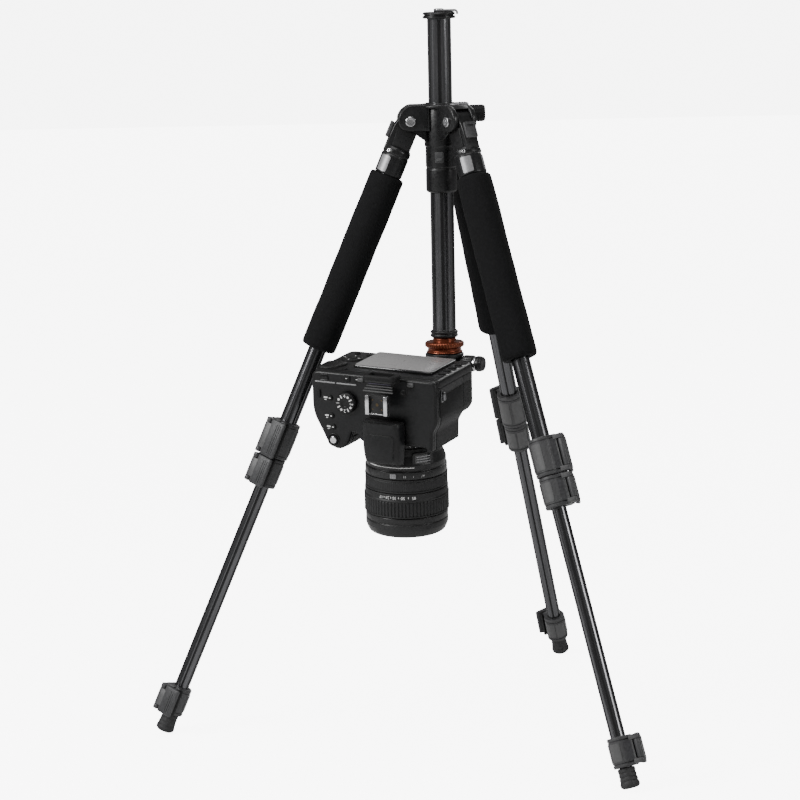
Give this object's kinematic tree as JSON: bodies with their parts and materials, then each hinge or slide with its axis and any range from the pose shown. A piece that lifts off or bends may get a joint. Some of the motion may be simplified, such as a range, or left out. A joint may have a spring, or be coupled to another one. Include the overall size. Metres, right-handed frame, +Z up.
{
  "type": "camera on tripod",
  "caption": "Folding three-leg tripod with an inverted centre column and ball head carrying a digital reflex camera that looks straight down.",
  "frame": {"origin": "middle of the footprint of the whole object, on the surface that the three feet stand on", "axes": "+Z up along the centre column, the camera's top plate faces about -Y, its grip faces -X"},
  "size_m": [0.4746, 0.5146, 0.7068],
  "materials": {
    "black_casting": "satin black",
    "column_black": "black anodised, glossy",
    "leg_tube_grey": "gun-metal anodised",
    "foam_grip_black": "matte closed-cell foam",
    "lever_grey": "textured dark grey",
    "bright_steel": "bright",
    "orange_anodised": "orange anodised",
    "camera_plastic": "fine matte texture",
    "camera_leatherette": "pebbled leatherette",
    "lens_plastic": "satin",
    "lens_rubber": "ribbed",
    "rubber_black": "matte",
    "screen_cover": "clear cover over a grey display"
  },
  "bodies": {
    "spider": {"spider": "black_casting", "left_pivot_bolt": "bright_steel", "front_pivot_bolt": "bright_steel", "rear_pivot_bolt": "bright_steel"},
    "column_lock_knob": {"column_lock_knob": "black_casting"},
    "column": {"column_tube": "column_black", "column_end_cap": "black_casting", "pan_ring": "orange_anodised"},
    "bag_hook": {"bag_hook": "bright_steel"},
    "ball_housing": {"ball_housing": "black_casting"},
    "ball_lock_knob": {"ball_lock_knob": "black_casting"},
    "ball": {"ball": "bright_steel"},
    "camera": {"head_stem": "black_casting", "camera_plate": "black_casting", "camera_body": "camera_leatherette", "rear_cover": "camera_plastic", "screen": "screen_cover", "top_cover": "camera_plastic", "eyecup": "rubber_black", "hot_shoe": "bright_steel", "lens_barrel": "lens_plastic"},
    "mode_dial": {"mode_dial": "camera_plastic"},
    "shutter_button": {"shutter_button": "bright_steel"},
    "popup_flash": {"popup_flash": "camera_plastic"},
    "focus_ring": {"focus_ring": "lens_rubber"},
    "zoom_ring": {"zoom_ring": "lens_rubber"},
    "front_barrel": {"front_barrel": "lens_plastic"},
    "left_upper": {"left_yoke": "black_casting", "left_upper_tube": "leg_tube_grey", "left_foam_grip": "foam_grip_black", "left_upper_clamp": "black_casting"},
    "left_angle_tab": {"left_angle_tab": "lever_grey"},
    "left_upper_lever": {"left_upper_lever": "lever_grey"},
    "left_second_section": {"left_second_section": "leg_tube_grey"},
    "left_middle_lever": {"left_middle_lever": "lever_grey"},
    "left_third_section": {"left_third_section": "leg_tube_grey"},
    "left_lower_lever": {"left_lower_lever": "lever_grey"},
    "left_foot_section": {"left_foot_section": "rubber_black"},
    "front_upper": {"front_yoke": "black_casting", "front_upper_tube": "leg_tube_grey", "front_foam_grip": "foam_grip_black", "front_upper_clamp": "black_casting"},
    "front_angle_tab": {"front_angle_tab": "lever_grey"},
    "front_upper_lever": {"front_upper_lever": "lever_grey"},
    "front_second_section": {"front_second_section": "leg_tube_grey"},
    "front_middle_lever": {"front_middle_lever": "lever_grey"},
    "front_third_section": {"front_third_section": "leg_tube_grey"},
    "front_lower_lever": {"front_lower_lever": "lever_grey"},
    "front_foot_section": {"front_foot_section": "rubber_black"},
    "rear_upper": {"rear_yoke": "black_casting", "rear_upper_tube": "leg_tube_grey", "rear_foam_grip": "foam_grip_black", "rear_upper_clamp": "black_casting"},
    "rear_angle_tab": {"rear_angle_tab": "lever_grey"},
    "rear_upper_lever": {"rear_upper_lever": "lever_grey"},
    "rear_second_section": {"rear_second_section": "leg_tube_grey"},
    "rear_middle_lever": {"rear_middle_lever": "lever_grey"},
    "rear_third_section": {"rear_third_section": "leg_tube_grey"},
    "rear_lower_lever": {"rear_lower_lever": "lever_grey"},
    "rear_foot_section": {"rear_foot_section": "rubber_black"}
  },
  "joints": [
    {"name": "column_lock_turn", "type": "hinge", "parent": "spider", "child": "column_lock_knob", "pos_m": [0.0571, -0.0151, 0.606], "axis": [0.9962, 0.0872, 0], "range_deg": [-180, 180]},
    {"name": "column_slide", "type": "slide", "parent": "spider", "child": "column", "axis": [0, 0, 1], "range_m": [-0.08, 0.025]},
    {"name": "bag_hook_turn", "type": "hinge", "parent": "column", "child": "bag_hook", "pos_m": [0.0571, -0.0151, 0.705], "axis": [0, 0, 1], "range_deg": [-90, 90]},
    {"name": "head_pan", "type": "hinge", "parent": "column", "child": "ball_housing", "pos_m": [0.0571, -0.0151, 0.371], "axis": [0, 0, 1], "range_deg": [-8, 30]},
    {"name": "ball_lock_turn", "type": "hinge", "parent": "ball_housing", "child": "ball_lock_knob", "pos_m": [0.0571, -0.0151, 0.364], "axis": [0.9026, -0.4305, 0], "range_deg": [-180, 180]},
    {"name": "ball_tilt", "type": "hinge", "parent": "ball_housing", "child": "ball", "pos_m": [0.0571, -0.0151, 0.349], "axis": [0.9026, -0.4285, -0.0413], "range_deg": [0, 84]},
    {"name": "ball_roll", "type": "hinge", "parent": "ball", "child": "camera", "pos_m": [0.0571, -0.0151, 0.349], "axis": [-0.4305, -0.8984, -0.0865], "range_deg": [-25, 50]},
    {"name": "mode_dial_turn", "type": "hinge", "parent": "camera", "child": "mode_dial", "pos_m": [-0.01865, -0.07868, 0.34589], "axis": [-0.4305, -0.8984, -0.0865], "range_deg": [-150, 150]},
    {"name": "shutter_press", "type": "slide", "parent": "camera", "child": "shutter_button", "axis": [0.4305, 0.8984, 0.0865], "range_m": [0, 0.0012], "stiffness_N_per_m": 1500},
    {"name": "flash_open", "type": "hinge", "parent": "camera", "child": "popup_flash", "pos_m": [-0.00502, -0.1435, 0.32358], "axis": [-0.9026, 0.4285, 0.0413], "range_deg": [0, 80]},
    {"name": "focus_turn", "type": "hinge", "parent": "camera", "child": "focus_ring", "pos_m": [0.01835, -0.0926, 0.30638], "axis": [0, 0.0958, -0.9954], "range_deg": [-40, 50]},
    {"name": "zoom_turn", "type": "hinge", "parent": "camera", "child": "zoom_ring", "pos_m": [0.01835, -0.0926, 0.30638], "axis": [0, 0.0958, -0.9954], "range_deg": [0, 60]},
    {"name": "zoom_extend", "type": "slide", "parent": "camera", "child": "front_barrel", "axis": [0, 0.0958, -0.9954], "range_m": [0, 0.016]},
    {"name": "left_leg_spread", "type": "hinge", "parent": "spider", "child": "left_upper", "pos_m": [0.02701, -0.01768, 0.6], "axis": [-0.0854, 0.9963, 0], "range_deg": [-2, 60]},
    {"name": "left_angle_tab_pull", "type": "slide", "parent": "left_upper", "child": "left_angle_tab", "axis": [-0.9158, -0.0785, 0.3939], "range_m": [0, 0.004], "stiffness_N_per_m": 300},
    {"name": "left_second_slide", "type": "slide", "parent": "left_upper", "child": "left_second_section", "axis": [-0.3925, -0.0336, -0.9191], "range_m": [0, 0.2]},
    {"name": "left_third_slide", "type": "slide", "parent": "left_second_section", "child": "left_third_section", "axis": [-0.3925, -0.0336, -0.9191], "range_m": [-0.2, 0]},
    {"name": "left_foot_slide", "type": "slide", "parent": "left_third_section", "child": "left_foot_section", "axis": [-0.3925, -0.0336, -0.9191], "range_m": [0, 0.2]},
    {"name": "left_upper_lever_flip", "type": "hinge", "parent": "left_upper", "child": "left_upper_lever", "pos_m": [-0.11997, -0.03934, 0.29974], "axis": [-0.3925, -0.0336, -0.9191], "range_deg": [0, 100]},
    {"name": "left_middle_lever_flip", "type": "hinge", "parent": "left_second_section", "child": "left_middle_lever", "pos_m": [-0.13276, -0.03967, 0.26833], "axis": [-0.3925, -0.0336, -0.9191], "range_deg": [0, 100]},
    {"name": "left_lower_lever_flip", "type": "hinge", "parent": "left_third_section", "child": "left_lower_lever", "pos_m": [-0.22951, -0.0472, 0.04027], "axis": [-0.3925, -0.0336, -0.9191], "range_deg": [0, 100]},
    {"name": "front_leg_spread", "type": "hinge", "parent": "spider", "child": "front_upper", "pos_m": [0.07438, -0.03987, 0.6], "axis": [-0.8202, -0.5721, 0], "range_deg": [-10, 60]},
    {"name": "front_angle_tab_pull", "type": "slide", "parent": "front_upper", "child": "front_angle_tab", "axis": [0.5259, -0.7538, 0.3939], "range_m": [0, 0.004], "stiffness_N_per_m": 300},
    {"name": "front_second_slide", "type": "slide", "parent": "front_upper", "child": "front_second_section", "axis": [0.2254, -0.3231, -0.9191], "range_m": [0, 0.2]},
    {"name": "front_third_slide", "type": "slide", "parent": "front_second_section", "child": "front_third_section", "axis": [0.2254, -0.3231, -0.9191], "range_m": [-0.2, 0]},
    {"name": "front_foot_slide", "type": "slide", "parent": "front_third_section", "child": "front_foot_section", "axis": [0.2254, -0.3231, -0.9191], "range_m": [0, 0.2]},
    {"name": "front_upper_lever_flip", "type": "hinge", "parent": "front_upper", "child": "front_upper_lever", "pos_m": [0.16663, -0.15633, 0.29974], "axis": [0.2254, -0.3231, -0.9191], "range_deg": [0, 100]},
    {"name": "front_middle_lever_flip", "type": "hinge", "parent": "front_second_section", "child": "front_middle_lever", "pos_m": [0.17331, -0.16723, 0.26833], "axis": [0.2254, -0.3231, -0.9191], "range_deg": [0, 100]},
    {"name": "front_lower_lever_flip", "type": "hinge", "parent": "front_third_section", "child": "front_lower_lever", "pos_m": [0.2282, -0.24727, 0.04027], "axis": [0.2254, -0.3231, -0.9191], "range_deg": [0, 100]},
    {"name": "rear_leg_spread", "type": "hinge", "parent": "spider", "child": "rear_upper", "pos_m": [0.06991, 0.01225, 0.6], "axis": [0.9056, -0.4242, 0], "range_deg": [-18, 60]},
    {"name": "rear_angle_tab_pull", "type": "slide", "parent": "rear_upper", "child": "rear_angle_tab", "axis": [0.3899, 0.8323, 0.3939], "range_m": [0, 0.004], "stiffness_N_per_m": 300},
    {"name": "rear_second_slide", "type": "slide", "parent": "rear_upper", "child": "rear_second_section", "axis": [0.1671, 0.3567, -0.9191], "range_m": [0, 0.2]},
    {"name": "rear_third_slide", "type": "slide", "parent": "rear_second_section", "child": "rear_third_section", "axis": [0.1671, 0.3567, -0.9191], "range_m": [-0.2, 0]},
    {"name": "rear_foot_slide", "type": "slide", "parent": "rear_third_section", "child": "rear_foot_section", "axis": [0.1671, 0.3567, -0.9191], "range_m": [0, 0.2]},
    {"name": "rear_upper_lever_flip", "type": "hinge", "parent": "rear_upper", "child": "rear_upper_lever", "pos_m": [0.12464, 0.15037, 0.29974], "axis": [0.1671, 0.3567, -0.9191], "range_deg": [0, 100]},
    {"name": "rear_middle_lever_flip", "type": "hinge", "parent": "rear_second_section", "child": "rear_middle_lever", "pos_m": [0.13075, 0.1616, 0.26833], "axis": [0.1671, 0.3567, -0.9191], "range_deg": [0, 100]},
    {"name": "rear_lower_lever_flip", "type": "hinge", "parent": "rear_third_section", "child": "rear_lower_lever", "pos_m": [0.17261, 0.24916, 0.04027], "axis": [0.1671, 0.3567, -0.9191], "range_deg": [0, 100]}
  ],
  "couplings": [
    {"joint": "zoom_extend", "follows": "zoom_turn", "m_per_rad": 0.015279}
  ]
}
